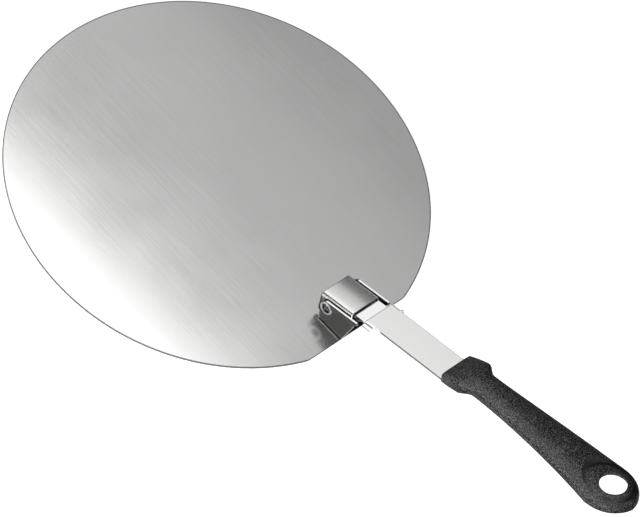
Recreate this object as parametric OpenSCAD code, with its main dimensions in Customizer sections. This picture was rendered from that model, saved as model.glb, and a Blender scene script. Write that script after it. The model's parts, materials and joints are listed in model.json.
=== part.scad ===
// Folding pizza peel: a thin round blade, a riveted channel bracket with two ears,
// and a strip handle with a moulded grip that folds over the blade about one pin.
// Millimetres, +Z up. The origin is the centre of the round blade on its underside.
// +X points along the open handle.

/* [Blade] */
// Diameter of the round blade
blade_d = 254; // [240:1:300]
// Thickness of the blade sheet
blade_t = 1; // [0.8:0.1:1.2]
// Depth of the straight edge cut off the round at the hinge
flat_inset = 6; // [5:0.5:8]
// Radius that softens the two ends of the straight edge
flat_corner_r = 12; // [8:1:16]

/* [Hinge bracket] */
// Outer width across the two ears
bracket_w = 27.1; // [26.8:0.1:27.6]
// Thickness of the bracket sheet
bracket_t = 1.2; // [1:0.1:1.2]
// Length of the bracket floor, back from the straight edge
floor_l = 18.5; // [18:0.5:20]
// Height of the pin above the blade
pin_h = 12.5; // [12.4:0.1:14]
// Distance from the pin forward to the straight edge
pin_back = 16.3; // [15.5:0.1:16.8]
// Slope of the open handle and of the ears' top edges, in degrees
hinge_tilt = 15.2; // [13:0.1:17]

/* [Hinge pin] */
// Diameter of the pin's shank
pin_d = 4.4; // [3.6:0.1:4.8]
// Diameter of the pin's domed heads
head_d = 6.4; // [6:0.1:7]
// Outer diameter of the washers under the heads
washer_d = 8.8; // [8:0.1:9.4]
// Outer diameter of the spacer tube that the handle turns on
tube_d = 6.4; // [6:0.1:6.6]

/* [Hinge cover] */
// Outer width of the cover
cover_w = 22.8; // [22.4:0.1:23]
// Thickness of the cover sheet
cover_t = 0.9; // [0.8:0.1:1]
// Outer radius of the cover's two long bends
cover_bend_r = 2.1; // [1.4:0.1:3]

/* [Handle strip] */
// Width of the strip
strip_w = 20.8; // [20:0.1:21.2]
// Thickness of the strip
strip_t = 1.2; // [1:0.1:1.2]
// Outer width across the shoulder's turned-down wings
shoulder_w = 24.6; // [24:0.1:26]
// How far the strip slopes below the hinge tilt, in degrees
strip_droop = 1.2; // [0:0.1:2]
// Bare length of strip from the shoulder's rear edge to the grip
bare_l = 62; // [58:0.5:72]

/* [Grip] */
// Length of the moulded grip
grip_l = 143; // [139:1:150]
// Half width at the grip's front face
front_half_w = 11.8; // [11.6:0.1:12.4]
// Half width at the collar's corners
collar_half_w = 13.3; // [12.8:0.1:14]
// Half width at the waist behind the collar
waist_half_w = 9.1; // [9:0.1:10]
// Half width at the widest place, round the hang hole
butt_half_w = 16.7; // [16.4:0.1:17.8]
// Diameter of the hang hole
hang_d = 16.2; // [16:0.2:18]
// Distance from the hang hole's centre to the grip's end
hang_from_end = 16.5; // [15.5:0.5:18]

/* [Hidden] */
$fn = 96;

// Gap between a shaft and the hole that turns on it
running_gap = 0.05;
// Gap round a fastener in a hole that it fills
seat_gap = 0.02;
// Gap beside the neck, where the cover's bends begin
side_clearance = 0.1;
// Overshoot of a cutting shape beyond the surface that it cuts
cut = 1;

flat_x = blade_d / 2 - flat_inset;
pin_x = flat_x - pin_back;
pin_z = blade_t + pin_h;

// Hinge bracket
ear_r = 4.95;
ear_bend_r = 2;
ear_knee = [20.9, 6.8];
ear_tip_x = 24.7;
ear_tip_r = 0.8;
ear_gap = bracket_w - 2 * bracket_t;
floor_top = bracket_t - pin_h;

// Rivets that hold the bracket to the blade
rivet_d = 3;
rivet_head_d = 5;
rivet_head_h = 0.7;
rivet_sink_d = 4.4;
rivet_dx = 9;
rivet_dy = 11;
rivet_shift = 0.6;

// Pin, washers and spring
head_h = 1.4;
head_dome_r = 4.2;
pin_washer_t = 0.6;
side_gap = (ear_gap - cover_w) / 2;
side_washer_d = 8.4;
side_washer_play = 0.05;
spring_t = 0.3;

// Hinge cover, measured from the pin along and square to the tilt
cover_top = 6.4;
cover_rear = 6.4;
cover_front = 17.7;
cover_foot_gap = 0.15;
cover_rear_foot = [-6.4, -8.9];
cover_heel_x = 0.5;
cover_toe_gap = 3;

// Eye and neck of the strip, measured from the pin in the same way
neck_half_w = cover_w / 2 - cover_bend_r - side_clearance;
eye_bore_r = tube_d / 2 + running_gap;
eye_r = eye_bore_r + strip_t;
eye_open_angle = -50;
weld_top = cover_top - cover_t - seat_gap;
weld_start = 2;
weld_full = 10;
groove_start = 12;
groove_full = 15.5;
groove_drop = 1.3;
pad_x = 18;
bend_r = 0.8;
bend_angle = 70;

// Shoulder, measured from its rear edge along the strip
shoulder_x = 28.8;
strip_mid = 8;
wing_drop = 3.4;
wing_l = 6.8;
wing_toe = 4;
wing_toe_r = 2;
wing_rake = 1.8;
shoulder_bend_r = 2.6;
shoulder_blend = 4;
shoulder_step = 2;
overlap = 0.2;

// Tail inside the grip, measured from the grip's front face
tail_lift = 2.6;
tail_half_w = 5.5;
tail_l = 92;
tail_step_x = 2;
tail_step_l = 14;
tail_neck_x = 1.6;
tail_corner_r = 2;
tail_hole_d = 5;
tail_hole_pitch = 25;

// Grip, measured from its front face along the strip
collar_x = 13.5;
waist_x = 22;
body_x = 26;
butt_x = 120;
butt_w_power = 1.4;
butt_rise_power = 3;
butt_lift_power = 2.5;
front_lift = 2.9;
collar_lift = 5.4;
body_lift = 5.7;
butt_lift = -1;
front_rise = 3.7;
collar_rise = 6.3;
body_rise = 5.9;
butt_rise = 10.2;
front_drop = 4.1;
collar_drop = 4.8;
body_drop = 5;
butt_drop = 0.9;
front_power = 6;
body_power = 2.5;
end_power = 2.5;
end_point = 0.6;
end_thin = 0.5;
end_thin_power = 3;
scoop_depth = 1.2;
scoop_l = 22;
scoop_w = 15;
scoop_edge = 5;
web_t = 1.5;
pocket_scale = 0.925;
pocket_r = 16.5;
hang_x = grip_l - hang_from_end;
grip_stations = 48;
grip_sides = 32;
station_power = 1.4;
last_station = 0.9995;

// ---- frames -------------------------------------------------------------------------

// Pin axis as the origin, +X up the open handle
module tilted() translate([pin_x, 0, pin_z]) rotate([0, -hinge_tilt, 0]) children();

// Mid-plane of the strip at the shoulder as the origin, +X along the strip
module on_strip() tilted() translate([shoulder_x, 0, strip_mid]) rotate([0, strip_droop, 0]) children();

// Front face of the grip as the origin
module on_grip() on_strip() translate([bare_l, 0, 0]) children();

// A shape drawn in X and Z, thick in Y and centred on Y = 0
module upright(width) rotate([90, 0, 0]) linear_extrude(width, center = true) children();

// A shape drawn in Y and Z, run from X = start to X = end
module lengthwise(start, end) translate([start, 0, 0]) rotate([90, 0, 90])
    linear_extrude(end - start) children();

// A cylinder along Y from one side to the other
module crosswise(d, from, to) translate([0, to, 0]) rotate([90, 0, 0]) cylinder(d = d, h = to - from);

// ---- profile helpers ----------------------------------------------------------------

function arc(centre, r, from, to, steps) =
    [for (i = [0:steps]) let (a = from + (to - from) * i / steps) centre + r * [cos(a), sin(a)]];

function ease(x) = let (c = max(0, min(1, x))) c * c * (3 - 2 * c);

function mix(a, b, x) = a + (b - a) * x;

// A point turned about the origin
function turn(p, a) = [p[0] * cos(a) - p[1] * sin(a), p[0] * sin(a) + p[1] * cos(a)];

// A box closed below, with its two lower edges rounded
module rounded_base(half_w, height, r) {
    translate([-half_w, r]) square([2 * half_w, height - r]);
    translate([-half_w + r, 0]) square([2 * (half_w - r), height]);
    for (side = [-1, 1]) translate([side * (half_w - r), r]) circle(r);
}

// A bent sheet channel, open above, standing on its web
module channel(half_w, height, t, bend_r) difference() {
    rounded_base(half_w, height, bend_r);
    translate([0, t]) rounded_base(half_w - t, height, bend_r - t);
}

// ---- blade --------------------------------------------------------------------------

// The round with its straight edge, one closed line: a corner, the big arc, the other corner
module blade_outline() {
    r = blade_d / 2;
    corner_x = flat_x - flat_corner_r;
    corner_y = sqrt(pow(r - flat_corner_r, 2) - pow(corner_x, 2));
    corner_angle = atan2(corner_y, corner_x);
    polygon(concat(
        arc([corner_x, corner_y], flat_corner_r, 0, corner_angle, 8),
        arc([0, 0], r, corner_angle + 1, 359 - corner_angle, 200),
        arc([corner_x, -corner_y], flat_corner_r, 360 - corner_angle, 360, 8)
    ));
}

module at_rivets() for (sx = [-1, 1], sy = [-1, 1])
    translate([flat_x - floor_l / 2 + rivet_shift + sx * rivet_dx / 2, sy * rivet_dy / 2, 0]) children();

// Shank and flush cone that hold the floor to the blade, with a gap round them
module rivet_shape(gap, top) {
    cylinder(d = rivet_d + 2 * gap, h = top);
    cylinder(d1 = rivet_sink_d + 2 * gap, d2 = rivet_d + 2 * gap, h = (rivet_sink_d - rivet_d) / 2);
}

module blade() color("#b4b7b8") difference() {
    linear_extrude(blade_t) blade_outline();
    at_rivets() translate([0, 0, -seat_gap]) rivet_shape(seat_gap, blade_t + cut);
}

// ---- hinge bracket ------------------------------------------------------------------

// Side view of the bracket from the pin: round ends behind the pin, leaning front edges
module bracket_side() {
    foot = [pin_back, -pin_h];
    rear_foot = [pin_back - floor_l, -pin_h];
    rear_angle = 270 - atan2(-rear_foot[0], pin_h) - acos(ear_r / norm(rear_foot));
    tip = [ear_tip_x, ear_r];
    round_at = turn(tip - [ear_tip_r, ear_tip_r], hinge_tilt);
    polygon(concat(
        arc([0, 0], ear_r, 90 + hinge_tilt, rear_angle, 24),
        [rear_foot, foot, ear_knee],
        arc(round_at, ear_tip_r, hinge_tilt - 30, 90 + hinge_tilt, 10)
    ));
}

module hinge_bracket() color("#8e9193") difference() {
    translate([pin_x, 0, pin_z]) intersection() {
        upright(bracket_w + cut) bracket_side();
        lengthwise(-3 * ear_r, 2 * pin_back) translate([0, -pin_h])
            channel(bracket_w / 2, 3 * pin_h, bracket_t, ear_bend_r);
    }
    translate([pin_x, 0, pin_z]) crosswise(pin_d + 2 * seat_gap, -bracket_w, bracket_w);
    at_rivets() cylinder(d = rivet_d + 2 * seat_gap, h = blade_t + bracket_t + cut);
}

module bracket_rivets() color("#9a9c9e") at_rivets() {
    floor_z = blade_t + bracket_t;
    rivet_shape(0, floor_z);
    translate([0, 0, floor_z]) intersection() {
        cylinder(d = rivet_head_d, h = rivet_head_h);
        translate([0, 0, rivet_head_h - rivet_head_d]) sphere(rivet_head_d);
    }
}

// ---- pin, washers and spring --------------------------------------------------------

// A domed head whose flat side is at Y = 0 and whose dome points along +Y
module pin_head() rotate([-90, 0, 0]) intersection() {
    cylinder(d = head_d, h = head_h);
    translate([0, 0, head_h - head_dome_r]) sphere(head_dome_r);
}

module hinge_pin() color("#55585a") translate([pin_x, 0, pin_z]) {
    under_head = bracket_w / 2 + pin_washer_t;
    crosswise(pin_d, -under_head, under_head);
    for (side = [0, 1]) mirror([0, side, 0]) translate([0, under_head, 0]) pin_head();
}

module ring(outer_d, inner_d, from, to) difference() {
    crosswise(outer_d, from, to);
    crosswise(inner_d, from - cut, to + cut);
}

module pin_washers() color("#c9ccce") translate([pin_x, 0, pin_z])
    for (side = [0, 1]) mirror([0, side, 0])
        ring(washer_d, pin_d + 2 * seat_gap, bracket_w / 2, bracket_w / 2 + pin_washer_t);

module spacer_tube() color("#a3a6a8") translate([pin_x, 0, pin_z])
    ring(tube_d, pin_d + 2 * seat_gap, -ear_gap / 2, ear_gap / 2);

// A coned washer in the near gap, pressing the cover against the far washer
module disc_spring() color("#7d8082") translate([pin_x, -ear_gap / 2, pin_z]) rotate([-90, 0, 0])
    rotate_extrude() {
        bore = tube_d / 2 + running_gap;
        low = side_washer_play;
        high = side_gap - side_washer_play - spring_t;
        polygon([[bore, low], [side_washer_d / 2, high],
                 [side_washer_d / 2, high + spring_t], [bore, low + spring_t]]);
    }

module friction_washer() color("#b9bbbd") translate([pin_x, 0, pin_z])
    ring(side_washer_d, tube_d + 2 * running_gap,
         cover_w / 2 + side_washer_play, ear_gap / 2 - side_washer_play);

// ---- hinge cover --------------------------------------------------------------------

// Side view of the cover in the tilted frame. Its feet stand on the bracket floor
// when the handle is open, and its rear corner just swings past the floor.
module cover_side() {
    feet = floor_top + cover_foot_gap;
    rear_foot = turn(cover_rear_foot, -hinge_tilt);
    mid_foot = turn([cover_heel_x, feet], -hinge_tilt);
    front_foot = turn([pin_back - cover_toe_gap, feet], -hinge_tilt);
    polygon([[-cover_rear, cover_top], rear_foot, mid_foot, front_foot,
             [cover_front, cover_top - 2 * cover_bend_r], [cover_front, cover_top]]);
}

module hinge_cover() color("#b9bcbd") tilted() difference() {
    intersection() {
        upright(cover_w + cut) cover_side();
        lengthwise(-2 * cover_front, 2 * cover_front) translate([0, cover_top]) mirror([0, 1])
            channel(cover_w / 2, 3 * pin_h, cover_t, cover_bend_r);
    }
    crosswise(tube_d + 2 * running_gap, -cover_w, cover_w);
}

// ---- handle strip -------------------------------------------------------------------

function sheet_edge(path, side) = [for (i = [0:len(path) - 1])
    let (a = path[max(0, i - 1)], b = path[min(len(path) - 1, i + 1)], d = (b - a) / norm(b - a))
    path[i] + side * strip_t / 2 * [-d[1], d[0]]];

// Side view of a sheet of the strip's thickness that follows a line of points
module sheet(path) {
    upper = sheet_edge(path, 1);
    lower = sheet_edge(path, -1);
    polygon(concat(upper, [for (i = [len(lower) - 1:-1:0]) lower[i]]));
}

// Two opposite bends that step a sheet up from one level to another
function step_up(start, rise, end_angle) =
    let (flat_rise = bend_r * (1 - cos(bend_angle)),
         angle = rise > 2 * flat_rise ? bend_angle : acos(1 - rise / 2 / bend_r),
         run = 2 * bend_r * sin(angle),
         slope = max(0, (rise - 2 * bend_r * (1 - cos(angle))) / sin(angle)),
         top = start + [run + slope * cos(angle), rise])
    concat(arc(start + [0, bend_r], bend_r, -90, -90 + angle, 6),
           arc(top - [0, bend_r], bend_r, 90 + angle, 90 + end_angle, 6));

// Points that change smoothly from one level to another
function slope(from_x, to_x, from_z, to_z) =
    [for (i = [0:8]) [mix(from_x, to_x, i / 8), mix(from_z, to_z, ease(i / 8))]];

// Neck from the eye: it rises to the weld under the cover, dips clear of the cover's
// front edge, steps up to a flat pad and then up to the strip
function neck_path() =
    let (eye_mid = eye_r - strip_t / 2, weld_mid = weld_top - strip_t / 2)
    concat([[0, eye_mid]],
           slope(weld_start, weld_full, eye_mid, weld_mid),
           slope(groove_start, groove_full, weld_mid, weld_mid - groove_drop),
           step_up([pad_x, weld_mid - groove_drop], groove_drop, 0),
           step_up([shoulder_x - shoulder_step, weld_mid], strip_mid - weld_mid, -strip_droop),
           [[shoulder_x + 3, strip_mid - 3 * tan(strip_droop)]]);

// Rolled end that turns on the spacer tube, open below where the sheet's end stops
module eye() difference() {
    circle(eye_r);
    circle(eye_bore_r);
    polygon([[0, 0], 3 * eye_r * [cos(eye_open_angle), sin(eye_open_angle)], [3 * eye_r, 0]]);
}

function shoulder_edge(x) = mix(shoulder_w / 2, strip_w / 2, ease((x - wing_l) / shoulder_blend));

// Plan view along the strip: shoulder, bare strip, then the narrow tail inside the grip
module strip_plan() {
    blend = [for (i = [0:12]) let (x = wing_l + shoulder_blend * i / 12) [x, shoulder_edge(x)]];
    neck_x = bare_l + tail_neck_x;
    tail_round = arc([neck_x + tail_corner_r, tail_half_w + tail_corner_r], tail_corner_r, 180, 270, 6);
    half = concat([[0, shoulder_w / 2]], blend, [[neck_x, strip_w / 2]], tail_round,
                  [[bare_l + tail_l, tail_half_w]]);
    polygon(concat(half, [for (i = [len(half) - 1:-1:0]) [half[i][0], -half[i][1]]]));
}

// Side view of the turned-down wings, with a round toe up to the strip
module wing_side() polygon(concat(
    [[0, strip_t], [0, 0], [-wing_rake, -wing_drop]],
    arc([wing_toe, -wing_drop + wing_toe_r], wing_toe_r, -90, -20, 6),
    [[wing_l, -strip_t / 2], [wing_l, strip_t]]));

module shoulder() intersection() {
    lengthwise(-wing_rake, wing_l) translate([0, strip_t / 2]) mirror([0, 1])
        channel(shoulder_w / 2, 2 * wing_drop, strip_t, shoulder_bend_r);
    upright(shoulder_w + cut) wing_side();
}

// The shoulder's rounded sides take the place of the flat sheet's square ones
module flat_strip() intersection() {
    translate([0, 0, -strip_t / 2]) linear_extrude(strip_t) strip_plan();
    union() {
        translate([shoulder_step, -shoulder_w / 2 + shoulder_bend_r, -strip_t])
            cube([wing_l, shoulder_w - 2 * shoulder_bend_r, 2 * strip_t]);
        translate([wing_l - overlap, -shoulder_w, -strip_t])
            cube([bare_l + tail_step_x - wing_l + overlap, 2 * shoulder_w, 2 * strip_t]);
    }
}

module tail() difference() {
    intersection() {
        upright(strip_w) sheet(concat(
            [[-cut, 0], [tail_step_x, 0]],
            [for (i = [1:12]) [tail_step_x + tail_step_l * i / 12, tail_lift * ease(i / 12)]],
            [[tail_l, tail_lift]]));
        translate([-bare_l, 0, -pin_h]) linear_extrude(2 * pin_h) strip_plan();
    }
    for (x = [tail_hole_pitch:tail_hole_pitch:tail_l - tail_hole_d])
        translate([x, 0, -pin_h]) cylinder(d = tail_hole_d, h = 2 * pin_h);
}

module handle_strip() color("#e3e5e4") {
    tilted() {
        upright(2 * neck_half_w) eye();
        upright(2 * neck_half_w) sheet(neck_path());
    }
    on_strip() {
        shoulder();
        flat_strip();
    }
    on_grip() tail();
}

// ---- grip ---------------------------------------------------------------------------

// How far a station is along the body, 0 at the waist and 1 at the butt
function body_share(x) = max(0, min(1, (x - body_x) / (butt_x - body_x)));

// The collar's ramp changes to the body within this share, 0 before and 1 after
function past_collar(x) = ease((x - collar_x) / (waist_x - collar_x));

function end_share(x) = max(0, (x - butt_x) / (grip_l - butt_x));

function grip_half_w(x) =
    mix(mix(front_half_w, collar_half_w, x / collar_x),
        mix(waist_half_w, butt_half_w, pow(body_share(x), butt_w_power)), past_collar(x))
    * pow(max(0, 1 - pow(end_share(x), end_power)), end_point);

// A value along the grip from its front, collar, body and butt values
function along(x, front, collar, body, butt, power) =
    mix(mix(front, collar, x / collar_x), mix(body, butt, pow(body_share(x), power)), past_collar(x));

function end_factor(x) = 1 - end_thin * pow(end_share(x), end_thin_power);

// Height of the widest line, and how far the section reaches above and below it
function grip_lift(x) = along(x, front_lift, collar_lift, body_lift, butt_lift, butt_lift_power);

function grip_rise(x) =
    along(x, front_rise, collar_rise, body_rise, butt_rise, butt_rise_power) * end_factor(x);

function grip_drop(x) =
    along(x, front_drop, collar_drop, body_drop, butt_drop, butt_rise_power) * end_factor(x);

function grip_power(x) = mix(front_power, body_power, ease(x / waist_x));

// Shallow hollow in the top face round the hang hole
function scoop(x, y) =
    let (l = x < hang_x ? scoop_l : scoop_w, d = norm([(x - hang_x) / l, y / scoop_w]))
    scoop_depth * ease(scoop_edge * (1 - d));

function grip_point(x, a) =
    let (p = 2 / grip_power(x), c = cos(a), s = sin(a),
         y = sign(c) * pow(abs(c), p) * grip_half_w(x),
         z = sign(s) * pow(abs(s), p) * (s > 0 ? grip_rise(x) : grip_drop(x)))
    [x, y, grip_lift(x) + z - (s > 0 ? scoop(x, y) * s : 0)];

// Stations bunch up towards the grip's round end
function grip_station(i) = last_station * grip_l * (1 - pow(1 - i / grip_stations, station_power));

module grip_body() {
    points = [for (i = [0:grip_stations], k = [0:grip_sides - 1])
        grip_point(grip_station(i), 360 * k / grip_sides)];
    sides = [for (i = [0:grip_stations - 1], k = [0:grip_sides - 1])
        let (a = i * grip_sides + k, b = i * grip_sides + (k + 1) % grip_sides)
        [a, a + grip_sides, b + grip_sides, b]];
    front = [for (k = [0:grip_sides - 1]) k];
    back = [for (k = [grip_sides - 1:-1:0]) grip_stations * grip_sides + k];
    polyhedron(points, concat([front, back], sides), convexity = 6);
}

// The hang hole runs through a thin web at the top, over a hollow that is open below
// and follows the grip's outside
module hang_hole() {
    web_top = grip_lift(hang_x) + grip_rise(hang_x) - scoop_depth;
    outer_top = web_top + scoop_depth;
    centre_z = outer_top - (web_t + scoop_depth) / (1 - pocket_scale);
    intersection() {
        translate([hang_x, 0, centre_z]) scale(pocket_scale) translate([-hang_x, 0, -centre_z]) grip_body();
        translate([hang_x, 0, -2 * pocket_r]) cylinder(r = pocket_r, h = 4 * pocket_r);
    }
    translate([hang_x, 0, -2 * pocket_r]) cylinder(d = hang_d, h = 4 * pocket_r);
}

module grip() color("#2b2c2d") on_grip() difference() {
    grip_body();
    tail();
    hang_hole();
}

blade();
hinge_bracket();
bracket_rivets();
hinge_pin();
pin_washers();
spacer_tube();
disc_spring();
friction_washer();
hinge_cover();
handle_strip();
grip();
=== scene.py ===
"""Looks for the folding pizza peel: steel sheet parts, a textured dark grip, floor, light and camera."""
import json
import math

import bmesh
import bpy
from mathutils import Matrix, Vector


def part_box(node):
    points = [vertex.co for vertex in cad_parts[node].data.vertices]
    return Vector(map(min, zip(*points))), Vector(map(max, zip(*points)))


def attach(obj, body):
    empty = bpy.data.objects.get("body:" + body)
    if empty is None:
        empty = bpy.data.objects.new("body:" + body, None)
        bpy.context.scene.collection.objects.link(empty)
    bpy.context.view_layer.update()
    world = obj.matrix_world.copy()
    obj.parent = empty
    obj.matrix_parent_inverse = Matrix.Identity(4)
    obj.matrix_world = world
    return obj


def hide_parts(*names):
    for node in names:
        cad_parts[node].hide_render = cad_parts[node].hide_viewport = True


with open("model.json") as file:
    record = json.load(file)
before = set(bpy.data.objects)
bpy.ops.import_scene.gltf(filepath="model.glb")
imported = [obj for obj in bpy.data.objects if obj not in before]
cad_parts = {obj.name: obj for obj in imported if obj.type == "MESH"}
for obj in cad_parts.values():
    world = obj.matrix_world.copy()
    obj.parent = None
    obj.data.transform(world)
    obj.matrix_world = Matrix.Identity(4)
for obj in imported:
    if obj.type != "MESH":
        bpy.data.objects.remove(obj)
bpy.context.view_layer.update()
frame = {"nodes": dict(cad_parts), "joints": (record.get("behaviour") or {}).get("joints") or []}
nodes = frame["nodes"]
MM = 0.001

# ---- grip, as in the CAD: lengths in millimetres from its front face, and curve powers --

HINGE_TILT = math.radians(15.2)
STRIP_DROOP = math.radians(1.2)
SHOULDER_X, STRIP_MID, BARE_L = 28.8, 8.0, 62.0
GRIP_L, HANG_X, HANG_R = 143.0, 126.5, 8.1
COLLAR_X, WAIST_X, BODY_X, BUTT_X = 13.5, 22.0, 26.0, 120.0
# Front, collar, body and butt values: half width, middle height, and reach above and below it
HALF_W = (11.8, 13.3, 9.1, 16.7)
LIFT = (2.9, 5.4, 5.7, -1.0)
RISE = (3.7, 6.3, 5.9, 10.2)
DROP = (4.1, 4.8, 5.0, 0.9)
WIDTH_POWER, LIFT_POWER, THICK_POWER = 1.4, 2.5, 3.0
FRONT_POWER, BODY_POWER = 6.0, 2.5
END_POWER, END_POINT, END_THIN = 2.5, 0.6, 0.5
END_THIN_POWER = 3
SCOOP_DEPTH, SCOOP_L, SCOOP_W, SCOOP_EDGE = 1.2, 22.0, 15.0, 5.0
WEB_T, POCKET_SCALE, POCKET_R = 1.5, 0.925, 16.5
STATION_POWER, LAST_STATION = 1.4, 0.9995

# ---- grip, finer than in the CAD ------------------------------------------------------

GRIP_STATIONS, GRIP_SIDES, LATHE_SIDES = 190, 96, 96
# Rounded rims of the hang hole, with the angle between their steps in degrees
RIM_R, RIM_STEP = 0.7, 15
# How far the cutting tools reach past the web, and the radius of their closed ends
CUT_ABOVE, CUT_BELOW, POCKET_REACH, AXIS_R = 6, 9, 30, 0.01
# Parting line, and the ridge along the edge of the hollow (its width is a share of the hollow)
PARTING_DEPTH, PARTING_W = 0.12, 0.02
RIDGE_H, RIDGE_W = 0.4, 0.045
# Painted shade on the far wall of the hollow, where the pale specks are left out: where it starts and how
# it fades, as shares of the hollow
DISH_SHADE_VALUE = "dish_shade"
DISH_START, DISH_START_FADE, DISH_EDGE_FADE, DISH_SIDE = 0.68, 0.12, 0.08, 0.8

# ---- places on the steel parts that the materials need --------------------------------

PIN = Vector(frame["joints"][0]["pos_m"])
TILTED_X = Vector((math.cos(HINGE_TILT), 0, math.sin(HINGE_TILT)))
TILTED_Z = Vector((-math.sin(HINGE_TILT), 0, math.cos(HINGE_TILT)))
STRIP_SLOPE = HINGE_TILT - STRIP_DROOP
STRIP_Z = Vector((-math.sin(STRIP_SLOPE), 0, math.cos(STRIP_SLOPE)))
SHOULDER = PIN + (SHOULDER_X * TILTED_X + STRIP_MID * TILTED_Z) * MM
BLADE_FRONT, BLADE_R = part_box("blade")[1][:2]
BRACKET_T = 1.2 * MM
EAR_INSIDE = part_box("hinge_bracket")[1][1] - BRACKET_T
COVER_REAR = 6.4 * MM
STRIP_HALF_W = 10.4 * MM
PAD_END = (SHOULDER_X - 2.5) * MM

# ---- looks that several materials share ----------------------------------------------

# Grey of the painted highlights on the ears' top edges, the cover's front edge and the neck pad
PAINTED_HIGHLIGHT_SHADE = 0.92
CROWN_SHIFT = 2.5 * MM
# Angles between faces, in degrees: shaded smooth below the first two, rounded above the third
STEEL_SMOOTH, GRIP_SMOOTH, ROUND_ABOVE = 32, 40, 40
# How the grain is stretched, and turns that pick another part of the noise for it
SHEET_GRAIN = (40, 1500, 1500)
BLADE_GRAIN = (30, 1300, 1300)
BLADE_TURN = (0, 0, 0.9)
HANDLE_TURN = (0, STRIP_SLOPE, 0)
PLAIN = (1, 1, 1)

# ---- camera: angles in degrees, lengths in metres -------------------------------------

CAMERA_AZIMUTH, CAMERA_ELEVATION, CAMERA_ROLL = 27.91, 53.21, 23.18
CAMERA_AIM = Vector((0.0726, 0.0159, 0))
CAMERA_DISTANCE, CAMERA_LENS = 11.1, 1084.2


# ---- node helpers ---------------------------------------------------------------------

def new_material(name):
    """A material, its node tree and its surface node."""
    material = bpy.data.materials.new(name)
    material.use_nodes = True
    return material, material.node_tree, material.node_tree.nodes["Principled BSDF"]


def add(tree, kind, **inputs):
    """A node with some of its inputs set."""
    node = tree.nodes.new(kind)
    for key, value in inputs.items():
        node.inputs[key].default_value = value
    return node


def coordinates(tree, scale, rotation=(0, 0, 0)):
    """Object coordinates, stretched and then turned."""
    source = tree.nodes.new("ShaderNodeTexCoord")
    mapping = tree.nodes.new("ShaderNodeMapping")
    mapping.inputs["Rotation"].default_value = rotation
    mapping.inputs["Scale"].default_value = scale
    tree.links.new(source.outputs["Object"], mapping.inputs["Vector"])
    return mapping.outputs["Vector"]


def split_coordinates(tree):
    """Object coordinates as separate X, Y and Z."""
    source = tree.nodes.new("ShaderNodeTexCoord")
    split = tree.nodes.new("ShaderNodeSeparateXYZ")
    tree.links.new(source.outputs["Object"], split.inputs[0])
    return split.outputs


def noise(tree, vector, scale, detail=4.0, roughness=0.55):
    texture = add(tree, "ShaderNodeTexNoise", Scale=scale, Detail=detail, Roughness=roughness)
    tree.links.new(vector, texture.inputs["Vector"])
    return texture.outputs["Fac"]


def ramp(tree, value, low, high, out_low=0.0, out_high=1.0):
    """A smooth change from out_low to out_high while the value goes from low to high."""
    node = tree.nodes.new("ShaderNodeMapRange")
    node.interpolation_type = "SMOOTHSTEP"
    node.inputs["From Min"].default_value = low
    node.inputs["From Max"].default_value = high
    node.inputs["To Min"].default_value = out_low
    node.inputs["To Max"].default_value = out_high
    tree.links.new(value, node.inputs["Value"])
    return node.outputs["Result"]


def calc(tree, operation, a, b):
    """Sums on two values, each a number or the output of another node."""
    node = tree.nodes.new("ShaderNodeMath")
    node.operation = operation
    for socket, value in zip(node.inputs, (a, b)):
        if isinstance(value, (int, float)):
            socket.default_value = value
        else:
            tree.links.new(value, socket)
    return node.outputs[0]


def mix_colour(tree, factor, a, b):
    """Plain colour a where the factor is 0 and b where it is 1."""
    node = tree.nodes.new("ShaderNodeMix")
    node.data_type = "RGBA"
    tree.links.new(factor, node.inputs["Factor"])
    node.inputs[6].default_value = (*a, 1)
    node.inputs[7].default_value = (*b, 1)
    return node.outputs[2]


def overlay(tree, factor, colour, shade):
    """The colour of another node, covered by one grey where the factor is 1."""
    node = tree.nodes.new("ShaderNodeMix")
    node.data_type = "RGBA"
    tree.links.new(factor, node.inputs["Factor"])
    tree.links.new(colour, node.inputs[6])
    node.inputs[7].default_value = (shade, shade, shade, 1)
    return node.outputs[2]


def bump(tree, height, strength, distance, normal=None):
    node = add(tree, "ShaderNodeBump", Strength=strength, Distance=distance)
    tree.links.new(height, node.inputs["Height"])
    if normal is not None:
        tree.links.new(normal, node.inputs["Normal"])
    return node.outputs["Normal"]


def crowned(tree, crown, normal):
    """A normal that bows a flat sheet across Y."""
    y = calc(tree, "ADD", split_coordinates(tree)["Y"], CROWN_SHIFT)
    height = calc(tree, "MULTIPLY", calc(tree, "MULTIPLY", y, y), -crown)
    return bump(tree, height, 1.0, 1.0, normal)


# ---- materials ------------------------------------------------------------------------

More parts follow.
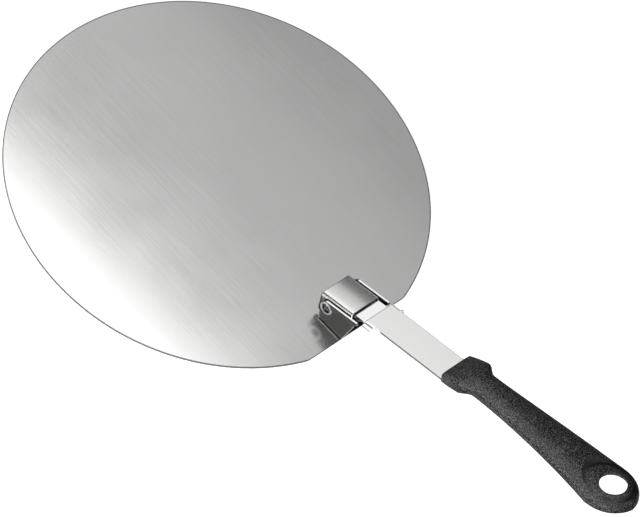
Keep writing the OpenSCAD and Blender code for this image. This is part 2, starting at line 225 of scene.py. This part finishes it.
def sheet_steel(name, shade, roughness, grain=SHEET_GRAIN, turn=(0, 0, 0),
                edge=None, edge_shade=0.14, bright=None, crown=0.0):
    """Satin steel with a fine grain along X, cloudy polish and fine specks. edge takes the node tree
    and gives 1 where a dark sheared edge, a dark line or painted shade shows, bright gives 1 where a
    highlight is painted, and crown bows the sheet across Y."""
    material, tree, surface = new_material(name)
    lines = noise(tree, coordinates(tree, grain, turn), 1.0, detail=6, roughness=0.7)
    clouds = noise(tree, coordinates(tree, PLAIN), 14.0, detail=2)
    specks = noise(tree, coordinates(tree, PLAIN), 900.0, detail=2)
    tone = calc(tree, "ADD", calc(tree, "MULTIPLY", lines, 0.7), calc(tree, "MULTIPLY", clouds, 0.3))
    dark = tuple(c * 0.97 for c in shade)
    light = tuple(c * 1.025 for c in shade)
    colour = mix_colour(tree, ramp(tree, tone, 0.3, 0.7), dark, light)
    # Dark sheared edges, a dark line along the cover's rear edge, and painted shade in the bracket
    if edge:
        colour = overlay(tree, edge(tree), colour, edge_shade)
    # Painted highlights
    if bright:
        colour = overlay(tree, bright(tree), colour, PAINTED_HIGHLIGHT_SHADE)
    tree.links.new(colour, surface.inputs["Base Color"])
    cloudy = ramp(tree, clouds, 0.3, 0.7, roughness - 0.02, roughness + 0.02)
    streaky = calc(tree, "MULTIPLY", calc(tree, "SUBTRACT", lines, 0.5), 0.12)
    tree.links.new(calc(tree, "ADD", cloudy, streaky), surface.inputs["Roughness"])
    surface.inputs["Metallic"].default_value = 1.0
    normal = bump(tree, specks, 0.06, 0.02 * MM, bump(tree, lines, 0.12, 0.03 * MM))
    if crown:
        normal = crowned(tree, crown, normal)
    tree.links.new(normal, surface.inputs["Normal"])
    return material


def turned_steel(name, shade, roughness):
    """Small turned or pressed steel parts: fine specks, and darker where the polish is worn."""
    material, tree, surface = new_material(name)
    specks = noise(tree, coordinates(tree, PLAIN), 1400.0, detail=3)
    patches = noise(tree, coordinates(tree, PLAIN), 260.0, detail=2)
    worn = tuple(c * 0.8 for c in shade)
    colour = mix_colour(tree, ramp(tree, patches, 0.35, 0.65), worn, shade)
    tree.links.new(colour, surface.inputs["Base Color"])
    polish = ramp(tree, specks, 0.3, 0.7, roughness - 0.05, roughness + 0.08)
    tree.links.new(polish, surface.inputs["Roughness"])
    surface.inputs["Metallic"].default_value = 1.0
    tree.links.new(bump(tree, specks, 0.15, 0.03 * MM), surface.inputs["Normal"])
    return material


def moulded_plastic(name):
    """Dark moulded plastic: pale specks in a fine grain, left out on the far wall of the hollow as painted
    shade, and a sheen that fades where the surface turns away."""
    material, tree, surface = new_material(name)
    plain = coordinates(tree, PLAIN)
    grain = noise(tree, plain, 1650.0, detail=3, roughness=0.6)
    pits = add(tree, "ShaderNodeTexVoronoi", Scale=1100.0)
    tree.links.new(plain, pits.inputs["Vector"])
    patches = noise(tree, plain, 60.0, detail=3)
    tone = calc(tree, "ADD", calc(tree, "MULTIPLY", grain, 0.92), calc(tree, "MULTIPLY", patches, 0.08))
    dish_shade = tree.nodes.new("ShaderNodeAttribute")
    dish_shade.attribute_name = DISH_SHADE_VALUE
    # Painted shade: the pale specks fade out on the far wall of the hollow, leaving it dark
    kept = ramp(tree, dish_shade.outputs["Fac"], 0.0, 1.0, 1.0, 0.15)
    specks = calc(tree, "MULTIPLY", ramp(tree, tone, 0.47, 0.62), kept)
    colour = mix_colour(tree, specks, (0.003, 0.003, 0.0033), (0.118, 0.118, 0.12))
    tree.links.new(colour, surface.inputs["Base Color"])
    tree.links.new(ramp(tree, patches, 0.3, 0.7, 0.42, 0.56), surface.inputs["Roughness"])
    facing = add(tree, "ShaderNodeLayerWeight", Blend=0.5)
    sheen = ramp(tree, facing.outputs["Facing"], 0.04, 0.27, 0.8, 0.05)
    tree.links.new(sheen, surface.inputs["Specular IOR Level"])
    coarse = bump(tree, pits.outputs["Distance"], 0.6, 0.15 * MM)
    tree.links.new(bump(tree, grain, 0.6, 0.15 * MM, coarse), surface.inputs["Normal"])
    return material


def faces_along(tree, normal):
    """1 on faces that look along the normal, 0 elsewhere."""
    geometry = tree.nodes.new("ShaderNodeNewGeometry")
    facing = tree.nodes.new("ShaderNodeVectorMath")
    facing.operation = "DOT_PRODUCT"
    facing.inputs[1].default_value = normal
    tree.links.new(geometry.outputs["Normal"], facing.inputs[0])
    return ramp(tree, facing.outputs["Value"], 0.975, 0.99)


def along_axis(tree, axis, origin):
    """Distance from a point in the row frame along an axis, in metres."""
    source = tree.nodes.new("ShaderNodeTexCoord")
    offset = tree.nodes.new("ShaderNodeVectorMath")
    offset.operation = "SUBTRACT"
    offset.inputs[1].default_value = origin
    tree.links.new(source.outputs["Object"], offset.inputs[0])
    dot = tree.nodes.new("ShaderNodeVectorMath")
    dot.operation = "DOT_PRODUCT"
    dot.inputs[1].default_value = axis
    tree.links.new(offset.outputs[0], dot.inputs[0])
    return dot.outputs["Value"]


def painted_bracket_shade(tree):
    """1 inside the bracket and in the fold where each ear meets the blade: painted shade in the bracket's
    hollow and a painted contact shadow along each ear's foot.
    """
    axes = split_coordinates(tree)
    inside = ramp(tree, calc(tree, "ABSOLUTE", axes["Y"], 0), EAR_INSIDE + 0.15 * MM, EAR_INSIDE)
    foot = ramp(tree, axes["Z"], 2.8 * MM, 1.8 * MM)
    return calc(tree, "MAXIMUM", inside, foot)


def cover_edge(tree):
    """1 in a dark line painted along the cover's rear edge."""
    return ramp(tree, along_axis(tree, TILTED_X, PIN), 0.5 * MM - COVER_REAR, 0.2 * MM - COVER_REAR)


def ear_top_highlight(tree):
    """1 on the sheared top edges of the bracket's ears, where a highlight is painted."""
    return faces_along(tree, TILTED_Z)


def cover_front_highlight(tree):
    """1 on the cover's sheared front edge, where a highlight is painted."""
    return faces_along(tree, TILTED_X)


def neck_pad_highlight(tree):
    """1 on the flat pad in front of the cover, up to the step at the shoulder: painted light that makes
    the pad brighter.
    """
    return ramp(tree, along_axis(tree, TILTED_X, PIN), PAD_END + 0.3 * MM, PAD_END - 0.3 * MM)


def blade_edge(tree):
    """1 in the sheared rim of the round blade, 0 inside it."""
    axes = split_coordinates(tree)
    radius = calc(tree, "SQRT", calc(tree, "ADD", calc(tree, "MULTIPLY", axes["X"], axes["X"]),
                                     calc(tree, "MULTIPLY", axes["Y"], axes["Y"])), 0)
    rim = ramp(tree, radius, BLADE_R - 0.9 * MM, BLADE_R - 0.3 * MM)
    straight = ramp(tree, axes["X"], BLADE_FRONT - 0.6 * MM, BLADE_FRONT - 0.2 * MM)
    return calc(tree, "MAXIMUM", rim, straight)


def strip_edge(tree):
    """1 on the strip's two long sheared edges behind the shoulder and on the wings' lower edges."""
    axes = split_coordinates(tree)
    across = calc(tree, "ABSOLUTE", axes["Y"], 0)
    side = ramp(tree, across, STRIP_HALF_W - 0.45 * MM, STRIP_HALF_W - 0.1 * MM)
    behind = ramp(tree, axes["X"], SHOULDER[0] + 9.5 * MM, SHOULDER[0] + 12 * MM)
    low = ramp(tree, along_axis(tree, STRIP_Z, SHOULDER), -2.3 * MM, -2.9 * MM)
    outer = ramp(tree, across, STRIP_HALF_W, STRIP_HALF_W + 0.4 * MM)
    return calc(tree, "MAXIMUM", calc(tree, "MULTIPLY", side, behind), calc(tree, "MULTIPLY", low, outer))


# ---- grip -----------------------------------------------------------------------------

def ease(x):
    """A smooth step from 0 to 1."""
    x = max(0.0, min(1.0, x))
    return x * x * (3 - 2 * x)


def mix(a, b, x):
    return a + (b - a) * x


def body_share(x):
    """How far a station is along the body, 0 at the waist and 1 at the butt."""
    return max(0.0, min(1.0, (x - BODY_X) / (BUTT_X - BODY_X)))


def end_share(x):
    """How far a station is along the round end, 0 before it and 1 at the tip."""
    return max(0.0, (x - BUTT_X) / (GRIP_L - BUTT_X))


def along(x, values, power):
    """A value along the grip from its front, collar, body and butt values."""
    front, collar, body, butt = values
    past_collar = ease((x - COLLAR_X) / (WAIST_X - COLLAR_X))
    return mix(mix(front, collar, x / COLLAR_X), mix(body, butt, body_share(x) ** power), past_collar)


def end_factor(x):
    """The round end gets thinner towards its tip."""
    return 1 - END_THIN * end_share(x) ** END_THIN_POWER


def grip_half_w(x):
    return along(x, HALF_W, WIDTH_POWER) * max(0.0, 1 - end_share(x) ** END_POWER) ** END_POINT


def scoop_distance(x, y):
    """0 at the hang hole's centre and 1 at the edge of the hollow round it."""
    length = SCOOP_L if x < HANG_X else SCOOP_W
    return math.hypot((x - HANG_X) / length, y / SCOOP_W)


def scoop(x, y):
    """Depth of the shallow hollow in the top face, with a low ridge along its edge."""
    distance = scoop_distance(x, y)
    ridge = RIDGE_H * math.exp(-((distance - 1) / RIDGE_W) ** 2)
    return SCOOP_DEPTH * ease(SCOOP_EDGE * (1 - distance)) - ridge


def signed_power(value, power):
    return math.copysign(abs(value) ** power, value)


def grip_point(x, angle):
    """A point on the grip's outside, at a station and an angle round it."""
    c, s = math.cos(angle), math.sin(angle)
    power = 2 / mix(FRONT_POWER, BODY_POWER, ease(x / WAIST_X))
    reach = along(x, RISE if s > 0 else DROP, THICK_POWER) * end_factor(x)
    groove = PARTING_DEPTH * math.exp(-(s / PARTING_W) ** 2)
    y = signed_power(c, power) * (grip_half_w(x) - groove)
    z = along(x, LIFT, LIFT_POWER) + signed_power(s, power) * reach
    return Vector((x, y, z - (scoop(x, y) * s if s > 0 else 0)))


def grip_station(i):
    """Stations bunch up towards the grip's round end."""
    return LAST_STATION * GRIP_L * (1 - (1 - i / GRIP_STATIONS) ** STATION_POWER)


def tube(name, rings):
    """A closed piece from rings of points that all have the same count."""
    mesh = bmesh.new()
    loops = [[mesh.verts.new(point) for point in ring] for ring in rings]
    count = len(loops[0])
    for a, b in zip(loops, loops[1:]):
        for k in range(count):
            j = (k + 1) % count
            mesh.faces.new((a[k], a[j], b[j], b[k]))
    mesh.faces.new(loops[0])
    mesh.faces.new(loops[-1])
    bmesh.ops.recalc_face_normals(mesh, faces=mesh.faces)
    data = bpy.data.meshes.new(name)
    mesh.to_mesh(data)
    mesh.free()
    piece = bpy.data.objects.new(name, data)
    bpy.context.scene.collection.objects.link(piece)
    return piece


def grip_hull(name):
    """The grip's outside in grip millimetres. Half a step keeps vertices off the parting line."""
    angles = [2 * math.pi * (k + 0.5) / GRIP_SIDES for k in range(GRIP_SIDES)]
    stations = [grip_station(i) for i in range(GRIP_STATIONS + 1)]
    return tube(name, [[grip_point(x, angle) for angle in angles] for x in stations])


def lathe(name, profile):
    """A closed solid turned about Z from points (radius, height)."""
    angles = [2 * math.pi * k / LATHE_SIDES for k in range(LATHE_SIDES)]
    turns = [(math.cos(angle), math.sin(angle)) for angle in angles]
    return tube(name, [[(r * c, r * s, height) for c, s in turns] for r, height in profile])


def combine(piece, tool, operation):
    """Cuts piece with tool or keeps what they share, then removes tool."""
    step = piece.modifiers.new(operation, "BOOLEAN")
    step.object = tool
    step.operation = operation
    step.solver = "EXACT"
    bpy.context.view_layer.update()
    result = bpy.data.meshes.new_from_object(piece.evaluated_get(bpy.context.evaluated_depsgraph_get()))
    piece.modifiers.clear()
    piece.data = result
    bpy.data.objects.remove(tool)


def hole_cutter(web_top):
    """The hang hole through the web, with its two rims rounded over and a wider relief below."""
    web_bottom = web_top - WEB_T
    turns = [math.radians(a) for a in range(0, 91, RIM_STEP)]
    flares = [(HANG_R + RIM_R * (1 - math.cos(a)), RIM_R * (1 - math.sin(a))) for a in turns]
    upper = [(r, web_top - depth) for r, depth in flares]
    lower = [(r, web_bottom + depth) for r, depth in reversed(flares)]
    widest, low, high = HANG_R + 2 * RIM_R, web_bottom - CUT_BELOW, web_top + CUT_ABOVE
    profile = [(AXIS_R, low), (widest, low)] + lower + upper + [(widest, high), (AXIS_R, high)]
    return lathe("hole_cutter", profile)


def grip_to_row():
    """Grip millimetres to the row frame in metres, through the hinge pin."""
    return (Matrix.Translation(PIN) @ Matrix.Rotation(-HINGE_TILT, 4, "Y")
            @ Matrix.Translation(Vector((SHOULDER_X, 0, STRIP_MID)) * MM)
            @ Matrix.Rotation(STRIP_DROOP, 4, "Y") @ Matrix.Translation((BARE_L * MM, 0, 0))
            @ Matrix.Scale(MM, 4))


def mark_dish_shade(data):
    """A vertex value that is 1 on the far wall of the hollow round the hang hole, where shade is painted.
    """
    values = data.attributes.new(DISH_SHADE_VALUE, "FLOAT", "POINT")
    for vertex, value in zip(data.vertices, values.data):
        x, y, z = vertex.co
        distance = scoop_distance(x, y)
        wall = ease((1 - distance) / DISH_EDGE_FADE) * ease((distance - DISH_START) / DISH_START_FADE)
        far_side = ease(DISH_SIDE + y / SCOOP_W)
        on_top = z > along(x, LIFT, LIFT_POWER) + 1
        value.value = wall * far_side if on_top else 0.0


def build_grip():
    """The grip with its hollow below and its hang hole. The hollow follows the outside, made smaller
    about a point that leaves the web's thickness above it."""
    grip = grip_hull("grip_moulding")
    web_top = grip_point(HANG_X, math.pi / 2)[2]
    outer_top = web_top + SCOOP_DEPTH
    centre = Vector((HANG_X, 0, outer_top - (WEB_T + SCOOP_DEPTH) / (1 - POCKET_SCALE)))
    pocket = grip_hull("pocket_cutter")
    shrink = Matrix.Translation(centre) @ Matrix.Scale(POCKET_SCALE, 4) @ Matrix.Translation(-centre)
    pocket.data.transform(shrink)
    limit = lathe("pocket_limit", [(AXIS_R, -POCKET_REACH), (POCKET_R, -POCKET_REACH),
                                   (POCKET_R, POCKET_REACH), (AXIS_R, POCKET_REACH)])
    limit.data.transform(Matrix.Translation((HANG_X, 0, 0)))
    combine(pocket, limit, "INTERSECT")
    combine(grip, pocket, "DIFFERENCE")
    cutter = hole_cutter(web_top)
    cutter.data.transform(Matrix.Translation((HANG_X, 0, 0)))
    combine(grip, cutter, "DIFFERENCE")
    mark_dish_shade(grip.data)
    grip.data.transform(grip_to_row())
    smooth(grip.data, GRIP_SMOOTH)
    grip.data.materials.clear()
    grip.data.materials.append(moulded_plastic("grip_moulded_plastic"))
    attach(grip, "handle")
    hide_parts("grip")


# ---- carried-over steel parts ---------------------------------------------------------

def smooth(data, degrees):
    """Smooth faces that meet at less than the angle, and sharp edges elsewhere."""
    data.shade_smooth()
    data.set_sharp_from_angle(angle=math.radians(degrees))


def finish_steel(name, material, edge=0.0):
    """Gives a CAD piece its material, and rounds its sharp edges by a width in millimetres."""
    piece = nodes[name]
    piece.data.materials.clear()
    piece.data.materials.append(material)
    smooth(piece.data, STEEL_SMOOTH)
    if edge:
        weld = piece.modifiers.new("weld", "WELD")
        weld.merge_threshold = 0.002 * MM
        rounding = piece.modifiers.new("edges", "BEVEL")
        rounding.width = edge * MM
        rounding.segments = 2
        rounding.limit_method = "ANGLE"
        rounding.angle_limit = math.radians(ROUND_ABOVE)
        flats = piece.modifiers.new("flats", "WEIGHTED_NORMAL")
        flats.keep_sharp = True


# Base colours are partly painted light and shade: the bracket, cover and strip are set darker or lighter,
# part by part, to match how brightly each is lit
finish_steel("blade", sheet_steel("blade_satin_steel", (0.69, 0.695, 0.685), 0.19,
                                  BLADE_GRAIN, BLADE_TURN, edge=blade_edge), 0.15)
finish_steel("hinge_bracket", sheet_steel("bracket_satin_steel", (0.27, 0.27, 0.265), 0.2,
                                          edge=painted_bracket_shade, edge_shade=0.05, bright=ear_top_highlight), 0.15)
finish_steel("hinge_cover", sheet_steel("cover_satin_steel", (0.57, 0.575, 0.565), 0.24,
                                        turn=HANDLE_TURN, edge=cover_edge, bright=cover_front_highlight,
                                        crown=13.0), 0.12)
finish_steel("handle_strip", sheet_steel("strip_satin_steel", (0.78, 0.785, 0.77), 0.24,
                                         turn=HANDLE_TURN, edge=strip_edge, bright=neck_pad_highlight), 0.12)
finish_steel("bracket_rivets", turned_steel("rivet_steel", (0.12, 0.12, 0.12), 0.32))
# The pin's base colour is set dark as a painted reflection of its dark surroundings in the polished head;
# the washers' near-white base colour is their bright steel lifted further as a painted highlight
finish_steel("hinge_pin", turned_steel("pin_steel_painted_dark", (0.1, 0.1, 0.105), 0.13))
finish_steel("pin_washers", turned_steel("washer_steel_painted_bright", (0.95, 0.95, 0.95), 0.42), 0.25)
finish_steel("spacer_tube", turned_steel("tube_steel", (0.62, 0.62, 0.62), 0.3))
finish_steel("disc_spring", turned_steel("spring_steel", (0.3, 0.3, 0.31), 0.35))
finish_steel("friction_washer", turned_steel("friction_steel", (0.6, 0.59, 0.57), 0.35))
build_grip()


# ---- floor, light and camera ----------------------------------------------------------

def build_floor():
    material, tree, surface = new_material("pale_floor")
    cloud = noise(tree, coordinates(tree, PLAIN), 3.0)
    colour = mix_colour(tree, cloud, (0.42, 0.42, 0.42), (0.44, 0.44, 0.44))
    tree.links.new(colour, surface.inputs["Base Color"])
    surface.inputs["Roughness"].default_value = 0.9
    surface.inputs["Specular IOR Level"].default_value = 0.0
    surface.inputs["Emission Color"].default_value = (1, 1, 1, 1)
    surface.inputs["Emission Strength"].default_value = 1.0
    bpy.ops.mesh.primitive_plane_add(size=30, location=(0, 0, -0.8 * MM))
    floor = bpy.context.object
    floor.name = "floor"
    floor.data.materials.append(material)
    floor.visible_diffuse = False


def build_world():
    """A soft surround: bright beyond the peel, dark above the camera's side, and dim for matt surfaces."""
    world = bpy.data.worlds.new("studio")
    bpy.context.scene.world = world
    world.use_nodes = True
    tree = world.node_tree
    background = tree.nodes["Background"]
    source = tree.nodes.new("ShaderNodeTexCoord")
    split = tree.nodes.new("ShaderNodeSeparateXYZ")
    tree.links.new(source.outputs["Generated"], split.inputs[0])
    beyond = ramp(tree, split.outputs["Y"], -0.35, 0.45, 0.05, 0.44)
    above = ramp(tree, split.outputs["Z"], 0.05, 0.5, 0.2, 1.0)
    nearby = ramp(tree, split.outputs["Y"], -0.62, -0.85, 0.0, 0.32)
    shade = calc(tree, "MAXIMUM", calc(tree, "MULTIPLY", beyond, above), nearby)
    tree.links.new(mix_colour(tree, shade, (0, 0, 0), (1, 1, 1)), background.inputs["Color"])
    path = tree.nodes.new("ShaderNodeLightPath")
    dimmed = ramp(tree, path.outputs["Is Diffuse Ray"], 0.0, 1.0, 1.0, 0.15)
    tree.links.new(dimmed, background.inputs["Strength"])


def softbox(name, place, aim, width, height, power, matt=False):
    """A rectangular lamp that only mirrored light sees, or with matt only light from matt surfaces."""
    light = bpy.data.lights.new(name, "AREA")
    light.shape = "RECTANGLE"
    light.size = width
    light.size_y = height
    light.energy = power
    lamp = bpy.data.objects.new(name, light)
    bpy.context.scene.collection.objects.link(lamp)
    lamp.location = place
    lamp.rotation_mode = "QUATERNION"
    lamp.rotation_quaternion = (Vector(aim) - Vector(place)).to_track_quat("-Z", "Y")
    lamp.visible_camera = False
    lamp.visible_glossy = not matt
    lamp.visible_diffuse = matt


def build_camera():
    azimuth, elevation = math.radians(CAMERA_AZIMUTH), math.radians(CAMERA_ELEVATION)
    roll = math.radians(CAMERA_ROLL)
    back = Vector((math.sin(azimuth) * math.cos(elevation), -math.cos(azimuth) * math.cos(elevation),
                   math.sin(elevation)))
    level = Vector((math.cos(azimuth), math.sin(azimuth), 0))
    upward = back.cross(level)
    right = math.cos(roll) * level + math.sin(roll) * upward
    up = -math.sin(roll) * level + math.cos(roll) * upward
    data = bpy.data.cameras.new("camera")
    data.lens = CAMERA_LENS
    data.sensor_width = 36
    data.clip_start, data.clip_end = 1, 100
    camera = bpy.data.objects.new("camera", data)
    bpy.context.scene.collection.objects.link(camera)
    turn = Matrix((right, up, back)).transposed().to_4x4()
    camera.matrix_world = Matrix.Translation(CAMERA_AIM + CAMERA_DISTANCE * back) @ turn
    bpy.context.scene.camera = camera


build_floor()
build_world()
# Each lamp's name, place, aim, width, height and power, in metres and watts
softbox("near_softbox", (-0.31, -0.002, 0.42), (-0.31, -0.002, 0), 0.68, 0.36, 1.1)
softbox("middle_softbox", (-0.31, 0.006, 0.424), (-0.31, 0.006, 0), 0.68, 0.71, 0.26)
softbox("far_softbox", (-0.95, 0.82, 0.90), (0.15, 0, 0.03), 0.5, 0.7, 0.58)
softbox("low_softbox", (-0.05, -1.0, 0.22), (0.15, 0, 0.02), 1.0, 0.2, 1.1)
softbox("rim_softbox", (-0.18, -0.77, 0.52), (0.1, 0, 0.02), 0.25, 0.25, 0.8)
softbox("matt_softbox", (0.22, -0.96, 0.58), (0.25, 0, 0.06), 0.3, 0.3, 21, matt=True)
build_camera()
bpy.context.scene.view_settings.view_transform = "Standard"
